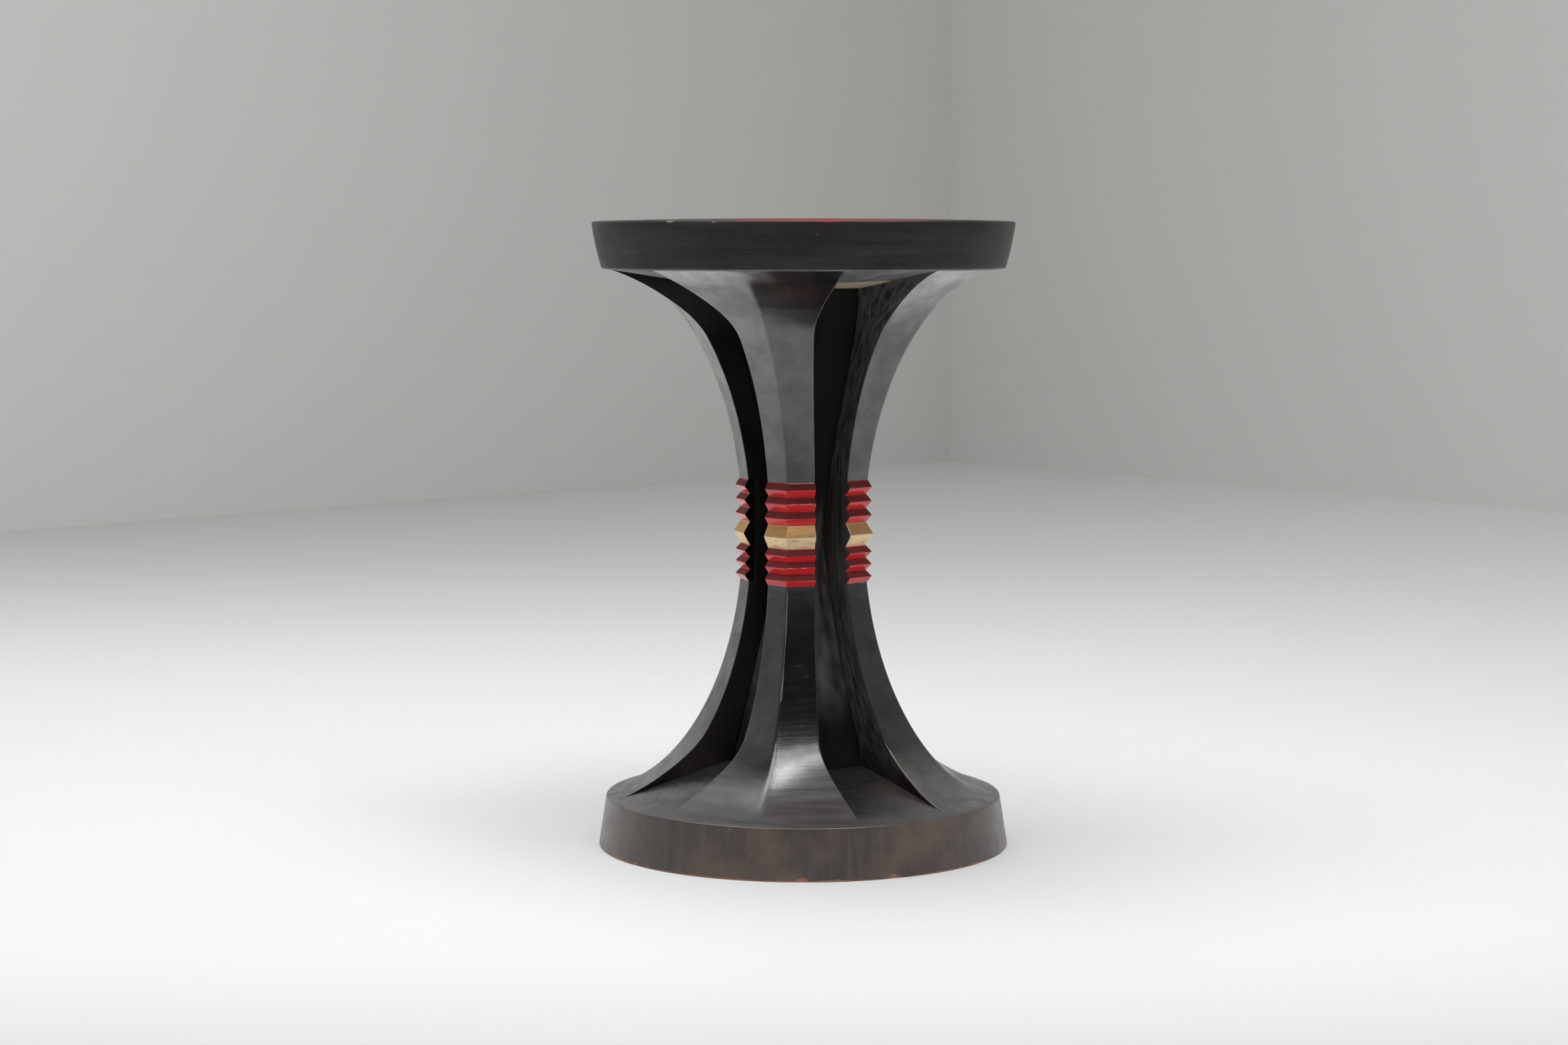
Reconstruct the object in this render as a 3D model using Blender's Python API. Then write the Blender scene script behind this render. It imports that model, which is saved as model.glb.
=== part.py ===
import math

import bmesh
import bpy
from mathutils import Matrix, Vector

# Seat: a turned disc with a tapering rim, a slight crown and a coned underside. Metres throughout.
TOTAL_HEIGHT = 0.500
SEAT_RADIUS = 0.168           # at the upper arris of the rim
SEAT_UNDER_RADIUS = 0.160     # at the lower arris of the rim
SEAT_RIM_HEIGHT = 0.037
SEAT_CROWN = 0.0025           # rise from the upper arris to the middle
SEAT_CONE_DROP = 0.015        # fall of the underside from the rim to the post
SEAT_ARRIS = 0.0028           # rounding of the upper arris
PANEL_RADIUS = 0.108          # round lacquered panel let into the seat
PANEL_THICKNESS = 0.006       # at the panel's edge

# Base: a turned plinth, widest on the floor, with a coned top.
BASE_RADIUS = 0.164
BASE_TOP_RADIUS = 0.158
BASE_RIM_HEIGHT = 0.040
BASE_CONE_RISE = 0.028        # rise of the top from the rim to the post
BASE_ARRIS = 0.0016
LOWER_ARRIS = 0.0012          # rounding of the two arrises that face down

# Ribs: four flared uprights whose outer faces meet on a ridge.
RIB_WAIST_RADIUS = 0.050      # from the stool's axis to the ridge
SEAT_SWEEP = 0.0155           # how far the ridge's elliptical sweep would reach past the seat's lower arris
BASE_SWEEP = 0.0175           # the same past the base's upper arris
FLARE_SINK = 0.0022           # how far that sweep runs on above and below the faces of seat and base
FLARE_LIMIT = 0.9995          # share of the sweep's height that is used
WAIST_ANGLE = math.radians(26.0)   # half of a rib's angle at the waist
NECK_ANGLE = math.radians(23.0)    # the same halfway along the flare
TOE_ANGLE = math.radians(30.0)     # the same at the toes
EDGE_SHARE = 0.85             # an edge's distance from the axis, as a share of the ridge's
TOE_START = 0.85              # share of the flare where the facets begin to round into the turned toes
TOE_END = 0.975               # share of the flare where they are fully round
RIB_DRIFT = math.radians(-5.0)     # turn of a rib's head against its foot

# Post: the eight-sided core whose open faces are the backs of the flutes.
POST_WAIST_RADIUS = 0.021     # to a corner
POST_END_RADIUS = 0.068       # to a corner, where the flare would end
POST_TAPER = 1.3              # exponent of its widening
TENON_RADIUS = 0.018
TENON_LENGTH = 0.022
BOSS_MARGIN = 0.0015          # flat round the post's shoulder

# Tooth blocks let into each rib at the waist.
RED_TEETH = 3                 # teeth in a red block
UPPER_TOOTH_PITCH = 0.0112
LOWER_TOOTH_PITCH = 0.0098
GOLD_TOOTH_HEIGHT = 0.0187
VALLEY_PROUD = 0.0012         # valleys beyond the ridge at the waist
RED_TOOTH_DEPTH = 0.0050
GOLD_TOOTH_DEPTH = 0.0062
TOOTH_BACKING = 0.0035        # wood left behind a valley at a rib's edge

# Dowels that tie the ribs to seat and base.
DOWEL_RADIUS = 0.004
DOWEL_LENGTH = 0.036
DOWEL_SETBACK = 0.020         # from the post's corner to the dowel's axis

FIT = 0.0003                  # clearance between pieces that touch
SCRIBE_ALLOWANCE = 0.009      # length left on a rib's ends until they are scribed to seat and base

TURNING_STEPS = 96            # facets round a turned piece
FLARE_STEPS = 13              # rings along each half of a rib and of the post
FACET_STEPS = 5               # faces across each facet of a rib
ARC_STEPS = 4                 # facets of a rounded arris
CROWN_STEPS = 5
DOWEL_SIDES = 16
TENON_SIDES = 8

RIB_TURNS = {"right": 0.0, "back": 90.0, "left": 180.0, "front": 270.0}

SEAT_ARRIS_Z = TOTAL_HEIGHT - SEAT_CROWN
SEAT_BOTTOM = SEAT_ARRIS_Z - SEAT_RIM_HEIGHT
SEAT_BOSS_Z = SEAT_BOTTOM - SEAT_CONE_DROP
BASE_BOSS_Z = BASE_RIM_HEIGHT + BASE_CONE_RISE
WAIST_Z = (SEAT_BOTTOM + BASE_RIM_HEIGHT) / 2
FLARE_HALF = (SEAT_BOTTOM - BASE_RIM_HEIGHT) / 2 + FLARE_SINK

GOLD_BOTTOM = WAIST_Z - GOLD_TOOTH_HEIGHT / 2
GOLD_TOP = WAIST_Z + GOLD_TOOTH_HEIGHT / 2
BAND_BOTTOM = GOLD_BOTTOM - RED_TEETH * LOWER_TOOTH_PITCH
BAND_TOP = GOLD_TOP + RED_TEETH * UPPER_TOOTH_PITCH
VALLEY_RADIUS = RIB_WAIST_RADIUS + VALLEY_PROUD
HOUSING_FACE = EDGE_SHARE * VALLEY_RADIUS * math.cos(WAIST_ANGLE) - TOOTH_BACKING


def flare_share(z):
    # 0 at the waist, 1 where the flare would end
    return min(abs(z - WAIST_Z) / FLARE_HALF, FLARE_LIMIT)


def ridge_radius(z):
    reach_out = SEAT_UNDER_RADIUS + SEAT_SWEEP if z > WAIST_Z else BASE_TOP_RADIUS + BASE_SWEEP
    flare = reach_out - RIB_WAIST_RADIUS
    return RIB_WAIST_RADIUS + flare * (1 - math.sqrt(1 - flare_share(z) ** 2))


def toe_share(z):
    # 0 along the facets, easing to 1 on the turned toes
    s = min(max((flare_share(z) - TOE_START) / (TOE_END - TOE_START), 0.0), 1.0)
    return s * s * (3 - 2 * s)


def half_angle(z):
    t = flare_share(z)
    waist = (WAIST_ANGLE - NECK_ANGLE) * (1 - t * t) ** 4
    return NECK_ANGLE + waist + (TOE_ANGLE - NECK_ANGLE) * toe_share(z)


def post_radius(z):
    return POST_WAIST_RADIUS + (POST_END_RADIUS - POST_WAIST_RADIUS) * flare_share(z) ** POST_TAPER


def drift(z):
    return RIB_DRIFT * max(0.0, (z - BAND_TOP) / (SEAT_BOTTOM - BAND_TOP))


def crown_height(r):
    return SEAT_ARRIS_Z + SEAT_CROWN * (1 - (r / SEAT_RADIUS) ** 2)


def flare_heights(steps, start):
    # heights above the waist, closer together where the flare turns outwards
    first = math.asin(start / FLARE_HALF)
    last = math.asin(FLARE_LIMIT)
    return [FLARE_HALF * math.sin(first + (last - first) * i / steps) for i in range(steps + 1)]


def polar(radius, angle, z):
    return Vector((radius * math.cos(angle), radius * math.sin(angle), z))


def ridged_front(z, radius, steps):
    # from the right edge over the ridge to the left edge
    a = half_angle(z)
    ridge = polar(radius, 0, z)
    points = []
    for i in range(-steps, steps + 1):
        edge = polar(EDGE_SHARE * radius, math.copysign(a, i), z)
        facet = ridge.lerp(edge, abs(i) / steps)
        points.append(facet.lerp(polar(radius, a * i / steps, z), toe_share(z)))
    return points


def flat_front(z, distance, steps):
    width = distance * math.tan(half_angle(z))
    return [Vector((distance, width * i / steps, z)) for i in range(-steps, steps + 1)]


def rib_ring(z, front, back):
    # the side walls point at the axis and end on a flat back
    a = half_angle(z)
    ring = front + [polar(back / math.cos(a), a, z), polar(back / math.cos(a), -a, z)]
    turn = Matrix.Rotation(drift(z), 3, "Z")
    return [turn @ p for p in ring]


def post_face(z):
    # distance from the axis to the faces that carry the ribs
    return post_radius(z) * math.cos(half_angle(z))


def rounded(points):
    # a profile of (r, z, rounding) with an arc at each point that has a rounding
    out = []
    for i, (r, z, size) in enumerate(points):
        here = Vector((r, z))
        if not size:
            out.append(here)
            continue
        before = (Vector(points[i - 1][:2]) - here).normalized()
        after = (Vector(points[i + 1][:2]) - here).normalized()
        half = before.angle(after) / 2
        start = here + before * size / math.tan(half)
        centre = here + (before + after).normalized() * size / math.sin(half)
        arm = start - centre
        sweep = (math.pi - 2 * half) * (1 if before.cross(after) < 0 else -1)
        for k in range(ARC_STEPS + 1):
            turn = Matrix.Rotation(sweep * k / ARC_STEPS, 2)
            out.append(centre + turn @ arm)
    return out


def finish_mesh(bm, name):
    bmesh.ops.remove_doubles(bm, verts=bm.verts, dist=1e-6)
    bmesh.ops.recalc_face_normals(bm, faces=bm.faces)
    mesh = bpy.data.meshes.new(name)
    bm.to_mesh(mesh)
    bm.free()
    mesh.shade_smooth()
    mesh.set_sharp_from_angle(angle=math.radians(30))
    return mesh


def turned(name, profile):
    # a closed solid of revolution from a profile that starts and ends on the axis
    bm = bmesh.new()
    verts = [bm.verts.new((p.x, 0, p.y)) for p in profile]
    edges = [bm.edges.new(pair) for pair in zip(verts, verts[1:])]
    bmesh.ops.spin(bm, geom=verts + edges, cent=(0, 0, 0), axis=(0, 0, 1),
                   angle=math.tau, steps=TURNING_STEPS, use_merge=True)
    return finish_mesh(bm, name)


def lofted(name, rings):
    # rings of equal length joined by faces and closed at both ends
    bm = bmesh.new()
    loops = [[bm.verts.new(p) for p in ring] for ring in rings]
    for low, high in zip(loops, loops[1:]):
        for i in range(len(low)):
            j = (i + 1) % len(low)
            bm.faces.new((low[i], low[j], high[j], high[i]))
    bm.faces.new(loops[0])
    bm.faces.new(loops[-1])
    return finish_mesh(bm, name)


def polygon(radius, sides, z):
    # a level ring whose first side straddles the +X direction
    return [polar(radius, math.tau * (i + 0.5) / sides, z) for i in range(sides)]


def material(name, colour, roughness, metallic=0.0):
    mat = bpy.data.materials.new(name)
    mat.use_nodes = True
    shader = mat.node_tree.nodes["Principled BSDF"]
    shader.inputs["Base Color"].default_value = (*colour, 1)
    shader.inputs["Roughness"].default_value = roughness
    shader.inputs["Metallic"].default_value = metallic
    mat.diffuse_color = (*colour, 1)
    return mat


def add(name, mesh, mat=None, turn=0.0):
    obj = bpy.data.objects.new(name, mesh)
    obj.rotation_euler.z = math.radians(turn)
    obj.parent = stool
    if mat and not mesh.materials:
        mesh.materials.append(mat)
    bpy.context.scene.collection.objects.link(obj)
    return obj


def cutter(name, mesh):
    obj = add(name, mesh)
    obj.hide_render = True
    obj.display_type = "WIRE"
    return obj


def cut(obj, *tools):
    for tool in tools:
        mod = obj.modifiers.new(tool.name, "BOOLEAN")
        mod.operation = "DIFFERENCE"
        mod.solver = "EXACT"
        mod.object = tool


def cylinders(name, radius, low, high, spots):
    bm = bmesh.new()
    for spot in spots:
        middle = Matrix.Translation((spot.x, spot.y, (low + high) / 2))
        bmesh.ops.create_cone(bm, cap_ends=True, segments=DOWEL_SIDES, radius1=radius, radius2=radius,
                              depth=high - low, matrix=middle)
    return finish_mesh(bm, name)


for old in list(bpy.data.objects):
    bpy.data.objects.remove(old, do_unlink=True)

stool = bpy.data.objects.new("stool", None)
bpy.context.scene.collection.objects.link(stool)

black = material("black_lacquer", (0.012, 0.012, 0.013), 0.34)
red = material("red_lacquer", (0.36, 0.011, 0.017), 0.38)
gold = material("gold_leaf", (0.60, 0.36, 0.12), 0.42, 0.35)
wood = material("bare_wood", (0.46, 0.30, 0.16), 0.65)

# Post with a keyed tenon at each end
post_low = BASE_BOSS_Z + FIT
post_high = SEAT_BOSS_Z - FIT


def post_ring(z):
    a = half_angle(z)
    corners = [math.radians(turn) + drift(z) + side for turn in (0, 90, 180, 270) for side in (-a, a)]
    return [polar(post_radius(z), angle, z) for angle in corners]


def tenon_ring(z, radius=TENON_RADIUS):
    # starts one side earlier, so that its corners pair with the post's
    ring = polygon(radius, TENON_SIDES, z)
    return ring[-1:] + ring[:-1]


below = [WAIST_Z - h for h in reversed(flare_heights(FLARE_STEPS, WAIST_Z - BAND_BOTTOM))]
above = [WAIST_Z + h for h in flare_heights(FLARE_STEPS, BAND_TOP - WAIST_Z)]
waist = [BAND_BOTTOM, GOLD_BOTTOM, WAIST_Z, GOLD_TOP, BAND_TOP]

post_levels = [z for z in below[:-1] + waist + above[1:] if post_low < z < post_high]
post_rings = [tenon_ring(post_low - TENON_LENGTH), tenon_ring(post_low)]
post_rings += [post_ring(z) for z in [post_low] + post_levels + [post_high]]
post_rings += [tenon_ring(post_high), tenon_ring(post_high + TENON_LENGTH)]
add("core_post", lofted("core_post", post_rings), black)

# Turned seat, its panel and the turned base
seat_boss = post_radius(SEAT_BOSS_Z) + BOSS_MARGIN
base_boss = post_radius(BASE_BOSS_Z) + BOSS_MARGIN
recess_radius = PANEL_RADIUS + FIT
panel_bottom = crown_height(PANEL_RADIUS) - PANEL_THICKNESS


def crown_points(outer, inner):
    radii = [outer + (inner - outer) * i / CROWN_STEPS for i in range(CROWN_STEPS + 1)]
    return [(r, crown_height(r), 0) for r in radii]


seat_profile = [(0, SEAT_BOSS_Z, 0), (seat_boss, SEAT_BOSS_Z, 0),
                (SEAT_UNDER_RADIUS, SEAT_BOTTOM, LOWER_ARRIS), (SEAT_RADIUS, SEAT_ARRIS_Z, SEAT_ARRIS)]
seat_profile += crown_points(SEAT_RADIUS, recess_radius)[1:]
seat_profile += [(recess_radius, panel_bottom - FIT, 0), (0, panel_bottom - FIT, 0)]
seat = add("seat_disc", turned("seat_disc", rounded(seat_profile)), black)

panel_profile = [(0, panel_bottom, 0), (PANEL_RADIUS, panel_bottom, 0)] + crown_points(PANEL_RADIUS, 0.0)
add("seat_panel", turned("seat_panel", rounded(panel_profile)), red)

base_profile = [(0, 0, 0), (BASE_RADIUS, 0, LOWER_ARRIS), (BASE_TOP_RADIUS, BASE_RIM_HEIGHT, BASE_ARRIS),
                (base_boss, BASE_BOSS_Z, 0), (0, BASE_BOSS_Z, 0)]
base = add("base_plinth", turned("base_plinth", rounded(base_profile)), black)

# What the ribs and the sockets are cut with
reach = 2 * max(SEAT_RADIUS, BASE_RADIUS)
under_base = cutter("base_scribe", turned("base_scribe", [Vector(p) for p in (
    (0, 0), (reach, 0), (reach, BASE_RIM_HEIGHT + FIT), (BASE_TOP_RADIUS, BASE_RIM_HEIGHT + FIT),
    (base_boss, BASE_BOSS_Z + FIT), (0, BASE_BOSS_Z + FIT))]))
over_seat = cutter("seat_scribe", turned("seat_scribe", [Vector(p) for p in (
    (0, SEAT_BOSS_Z - FIT), (seat_boss, SEAT_BOSS_Z - FIT), (SEAT_UNDER_RADIUS, SEAT_BOTTOM - FIT),
    (reach, SEAT_BOTTOM - FIT), (reach, TOTAL_HEIGHT), (0, TOTAL_HEIGHT))]))

mortise_radius = TENON_RADIUS + FIT / math.cos(math.pi / TENON_SIDES)
base_mortise = cutter("base_mortise", lofted("base_mortise", [
    tenon_ring(post_low - TENON_LENGTH - FIT, mortise_radius),
    tenon_ring(BASE_BOSS_Z + TENON_LENGTH, mortise_radius)]))
seat_mortise = cutter("seat_mortise", lofted("seat_mortise", [
    tenon_ring(SEAT_BOSS_Z - TENON_LENGTH, mortise_radius),
    tenon_ring(post_high + TENON_LENGTH + FIT, mortise_radius)]))


def cone_height(r, rim, rim_z, boss, boss_z):
    return rim_z + (boss_z - rim_z) * (rim - r) / (rim - boss)


base_circle = post_radius(BASE_BOSS_Z) + DOWEL_SETBACK
seat_circle = post_radius(SEAT_BOSS_Z) + DOWEL_SETBACK
base_dowel_z = cone_height(base_circle, BASE_TOP_RADIUS, BASE_RIM_HEIGHT, base_boss, BASE_BOSS_Z)
seat_dowel_z = cone_height(seat_circle, SEAT_UNDER_RADIUS, SEAT_BOTTOM, seat_boss, SEAT_BOSS_Z)


def dowel_set(end, circle, z, turn):
    # four dowels, half in the rib and half in the disc, and the cutter for their sockets
    low, high = z - DOWEL_LENGTH / 2, z + DOWEL_LENGTH / 2
    spots = {side: polar(circle, math.radians(angle) + turn, 0) for side, angle in RIB_TURNS.items()}
    for side, spot in spots.items():
        name = f"{end}_dowel_{side}"
        add(name, cylinders(name, DOWEL_RADIUS, low, high, [spot]), wood)
    socket = cylinders(f"{end}_sockets", DOWEL_RADIUS + FIT, low - FIT, high + FIT, spots.values())
    return cutter(f"{end}_sockets", socket)


base_sockets = dowel_set("base", base_circle, base_dowel_z, 0.0)
seat_sockets = dowel_set("seat", seat_circle, seat_dowel_z, drift(seat_dowel_z))
cut(base, base_mortise, base_sockets)
cut(seat, seat_mortise, seat_sockets)


# Ribs, stepped back at the waist for the tooth blocks
def flare_ring(z):
    return rib_ring(z, ridged_front(z, ridge_radius(z), FACET_STEPS), post_face(z) + FIT)


def housing_ring(z):
    return rib_ring(z, flat_front(z, HOUSING_FACE, FACET_STEPS), post_face(z) + FIT)


rib_rings = [flare_ring(z) for z in [BASE_RIM_HEIGHT - SCRIBE_ALLOWANCE] + below]
rib_rings += [housing_ring(z) for z in waist]
rib_rings += [flare_ring(z) for z in above + [SEAT_BOTTOM + SCRIBE_ALLOWANCE]]
rib_mesh = lofted("rib", rib_rings)

for side, turn in RIB_TURNS.items():
    rib = add(f"rib_{side}", rib_mesh, black, turn)
    cut(rib, under_base, over_seat, base_sockets, seat_sockets)


# Tooth blocks: a zigzag along the rib, folded over its ridge
def tooth_block(name, low, count, pitch, depth, low_radius, high_radius):
    rings = []
    top = low + count * pitch
    for i in range(2 * count + 1):
        z = min(max(low + pitch * i / 2, low + FIT / 2), top - FIT / 2)
        radius = VALLEY_RADIUS + depth if i % 2 else VALLEY_RADIUS
        if i == 0:
            radius = low_radius
        if i == 2 * count:
            radius = high_radius
        rings.append(rib_ring(z, ridged_front(z, radius, 1), HOUSING_FACE + FIT))
    return lofted(name, rings)


lower_teeth = tooth_block("lower_red_teeth", BAND_BOTTOM, RED_TEETH, LOWER_TOOTH_PITCH, RED_TOOTH_DEPTH,
                          ridge_radius(BAND_BOTTOM), VALLEY_RADIUS)
gold_tooth = tooth_block("gold_tooth", GOLD_BOTTOM, 1, GOLD_TOOTH_HEIGHT, GOLD_TOOTH_DEPTH,
                         VALLEY_RADIUS, VALLEY_RADIUS)
upper_teeth = tooth_block("upper_red_teeth", GOLD_TOP, RED_TEETH, UPPER_TOOTH_PITCH, RED_TOOTH_DEPTH,
                          VALLEY_RADIUS, ridge_radius(BAND_TOP))

for side, turn in RIB_TURNS.items():
    add(f"lower_red_teeth_{side}", lower_teeth, red, turn)
    add(f"gold_tooth_{side}", gold_tooth, gold, turn)
    add(f"upper_red_teeth_{side}", upper_teeth, red, turn)
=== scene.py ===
import math

import bmesh
import bpy
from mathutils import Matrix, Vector, noise


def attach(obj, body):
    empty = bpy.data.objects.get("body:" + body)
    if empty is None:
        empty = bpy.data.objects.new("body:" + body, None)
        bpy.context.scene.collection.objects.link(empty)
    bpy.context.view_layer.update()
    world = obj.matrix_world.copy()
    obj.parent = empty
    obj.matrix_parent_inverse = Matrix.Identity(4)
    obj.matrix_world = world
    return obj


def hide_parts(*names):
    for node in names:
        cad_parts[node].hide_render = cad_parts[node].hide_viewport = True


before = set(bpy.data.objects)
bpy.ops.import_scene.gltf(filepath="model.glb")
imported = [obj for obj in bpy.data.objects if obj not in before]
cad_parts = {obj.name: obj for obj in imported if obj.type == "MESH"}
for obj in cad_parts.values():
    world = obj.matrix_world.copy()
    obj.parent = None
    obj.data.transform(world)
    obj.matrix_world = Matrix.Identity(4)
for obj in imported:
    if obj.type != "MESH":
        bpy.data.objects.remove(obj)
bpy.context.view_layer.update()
print("frame:", len(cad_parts), "nodes")

scene = bpy.context.scene
scene.view_settings.view_transform = "Standard"

# camera, placed as the photograph was taken; pixels are those of a 2353 x 1568 picture
shot = {
    "azimuth": 13.6,        # degrees round the stool from the front rib
    "distance": 2.50,       # from the stool's axis
    "eyeHeight": 0.485,
    "pitch": 5.19,          # degrees downwards
    "focalPixels": 4714.0,
    "pictureWidth": 2353.0,
    "axisPixel": 1205.5,    # where the stool's axis stands across the picture
    "sensorWidth": 36.0,
}


def towardsCamera(right, near, up):
    # a place given as seen in the picture: metres to the right, towards the camera, and up
    turn = math.radians(shot["azimuth"])
    return Vector((right * math.cos(turn) + near * math.sin(turn),
                   right * math.sin(turn) - near * math.cos(turn), up))


def makeCamera():
    data = bpy.data.cameras.new("camera")
    data.sensor_width = shot["sensorWidth"]
    data.lens = shot["focalPixels"] / shot["pictureWidth"] * shot["sensorWidth"]
    cam = bpy.data.objects.new("camera", data)
    cam.location = towardsCamera(0, shot["distance"], shot["eyeHeight"])
    yaw = math.atan((shot["axisPixel"] - shot["pictureWidth"] / 2) / shot["focalPixels"])
    cam.rotation_euler = (math.radians(90 - shot["pitch"]), 0, math.radians(shot["azimuth"]) + yaw)
    scene.collection.objects.link(cam)
    scene.camera = cam


makeCamera()


# arithmetic on node sockets, so that a rule in a tree reads as it would on paper
def plug(tree, value, socket):
    if isinstance(value, Wire):
        tree.links.new(value.socket, socket)
    else:
        socket.default_value = value


class Wire:
    def __init__(self, tree, socket):
        self.tree = tree
        self.socket = socket

    def calc(self, kind, *others, clamp=False, first=None):
        made = self.tree.nodes.new("ShaderNodeMath")
        made.operation = kind
        made.use_clamp = clamp
        values = (self, *others) if first is None else (first, self)
        for value, socket in zip(values, made.inputs):
            plug(self.tree, value, socket)
        return Wire(self.tree, made.outputs[0])

    def __rsub__(self, other):
        return self.calc("SUBTRACT", first=other)

    def share(self):
        return self.calc("ADD", 0.0, clamp=True)  # held between 0 and 1

    def eased(self):
        held = self.share()
        return held * held * (3 - 2 * held)

    def rising(self, low, high):
        return ((self - low) / (high - low)).eased()  # 0 at the first value, 1 at the second

    def over(self, start, steep):
        return ((self - start) * steep).share()  # 0 up to the start, then rising to 1

    def fade(self, reach):
        return (self * (-1 / reach)).calc("EXPONENT")  # 1 at nought, dying away over that reach


sums = {"__add__": "ADD", "__radd__": "ADD", "__sub__": "SUBTRACT", "__mul__": "MULTIPLY", "__rmul__": "MULTIPLY",
        "__truediv__": "DIVIDE", "__pow__": "POWER", "__gt__": "GREATER_THAN", "__lt__": "LESS_THAN",
        "most": "MAXIMUM", "least": "MINIMUM", "root": "SQRT", "size": "ABSOLUTE", "sign": "SIGN", "sin": "SINE",
        "cos": "COSINE", "nearest": "ROUND", "floor": "FLOOR"}
for method, kind in sums.items():
    setattr(Wire, method, lambda self, *others, kind=kind: self.calc(kind, *others))


def between(start, end, share):
    return start + (end - start) * share


def node(tree, kind, inputs=None, **settings):
    made = tree.nodes.new(kind)
    for key, value in settings.items():
        setattr(made, key, value)
    for key, value in (inputs or {}).items():
        plug(tree, value, made.inputs[key])
    return made


def output(tree, made, key=0):
    return Wire(tree, made.outputs[key])


def separate(tree, vector):
    made = node(tree, "ShaderNodeSeparateXYZ", {0: vector})
    return [output(tree, made, i) for i in range(3)]


def combine(tree, x, y, z=0.0):
    return output(tree, node(tree, "ShaderNodeCombineXYZ", {0: x, 1: y, 2: z}))


def grain(tree, seed, scale, vector=None, detail=2.0, rough=0.5):
    made = node(tree, "ShaderNodeTexNoise", {"W": seed, "Scale": scale, "Detail": detail, "Roughness": rough},
                noise_dimensions="4D")
    if vector is not None:
        plug(tree, vector, made.inputs["Vector"])
    return output(tree, made, "Fac")


socketKinds = {float: "NodeSocketFloat", tuple: "NodeSocketVector", type(None): "NodeSocketMaterial"}


def newTree(name, kind, inputs, outputs, outputKind):
    # inputs are {label: start value}: a number, three numbers, or None for a material
    tree = bpy.data.node_groups.new(name, kind)
    for label, start in inputs.items():
        socket = tree.interface.new_socket(label, in_out="INPUT", socket_type=socketKinds[type(start)])
        if start is not None:
            socket.default_value = start
    for label in outputs:
        tree.interface.new_socket(label, in_out="OUTPUT", socket_type=outputKind)
    source = tree.nodes.new("NodeGroupInput")
    wires = {label: Wire(tree, source.outputs[label]) for label in inputs}
    return tree, wires, tree.nodes.new("NodeGroupOutput")


def shaderGroup(name, inputs, *outputs):
    return newTree(name, "ShaderNodeTree", {**inputs, "Seed": 0.0}, outputs, "NodeSocketFloat")


def shapeTree(name, sizes, *finishes):
    inputs = {**sizes, **dict.fromkeys(finishes)}
    return newTree(name, "GeometryNodeTree", inputs, ["Geometry"], "NodeSocketGeometry")


# shader groups that several finishes share
def objectPlace(tree):
    return output(tree, node(tree, "ShaderNodeTexCoord"), "Object")


def stretched(tree, scale):
    made = node(tree, "ShaderNodeVectorMath", {0: objectPlace(tree), 1: scale}, operation="MULTIPLY")
    return output(tree, made)


def attribute(tree, name):
    return output(tree, node(tree, "ShaderNodeAttribute", attribute_name=name), "Fac")


def strokeEnds(tree, wire, end, vector, seed):
    # broad and thin strokes from one stretched place
    broad = grain(tree, seed, 0.35, vector, detail=5.0, rough=0.62)
    fine = grain(tree, seed + 3.7, 1.6, vector, detail=3.0, rough=0.6)
    plug(tree, ((broad - 0.5) * wire["Contrast"] + 0.5).share(), end.inputs["Streak"])
    plug(tree, broad * 0.6 + fine * 0.4, end.inputs["Height"])


def brushGroup():
    tree, wire, end = shaderGroup("brushStrokes", {"Scale": (60.0, 60.0, 900.0), "Contrast": 2.0},
                                  "Streak", "Height")
    strokeEnds(tree, wire, end, stretched(tree, wire["Scale"]), wire["Seed"])
    return tree


def turnedGroup():
    # strokes that run round the axis, or across it where Around is the larger
    tree, wire, end = shaderGroup("turnedStrokes", {"Across": 600.0, "Around": 3.0, "Contrast": 2.0},
                                  "Streak", "Height")
    x, y, z = separate(tree, objectPlace(tree))
    radius = (x * x + y * y).root().most(0.0001)
    spot = combine(tree, radius * wire["Across"], z * wire["Across"], x / radius * wire["Around"])
    strokeEnds(tree, wire, end, spot, y / radius * wire["Around"] + wire["Seed"])
    return tree


def scratchGroup():
    # thin scarce lines along the strokes, more of them in some fields than in others
    tree, wire, end = shaderGroup("scratches", {"Scale": (40.0, 40.0, 2400.0), "Share": 0.2}, "Mask")
    lines = grain(tree, wire["Seed"], 0.7, stretched(tree, wire["Scale"]))
    field = grain(tree, wire["Seed"] + 8.3, 1.0, stretched(tree, (22, 22, 60)))
    level = lines + (field - 0.5) * 0.5 + wire["Share"]
    plug(tree, level.over(start=0.86, steep=12), end.inputs["Mask"])
    return tree


def crackGroup():
    # bent lines between cells, broken off here and there
    tree, wire, end = shaderGroup("cracks", {"Scale": (150.0, 150.0, 420.0), "Width": 0.04}, "Mask")
    spot = stretched(tree, wire["Scale"])
    bend = grain(tree, wire["Seed"], 1.3, spot, detail=3.0)
    push = output(tree, bend.socket.node, "Color")
    bent = output(tree, node(tree, "ShaderNodeVectorMath", {0: spot, 1: push}, operation="ADD"))
    cells = node(tree, "ShaderNodeTexVoronoi", {"Vector": bent, "W": wire["Seed"], "Scale": 1.0},
                 voronoi_dimensions="4D", feature="DISTANCE_TO_EDGE")
    line = (1 - output(tree, cells, "Distance") / wire["Width"]).share()
    plug(tree, line * bend.over(start=0.45, steep=7), end.inputs["Mask"])
    return tree


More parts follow.
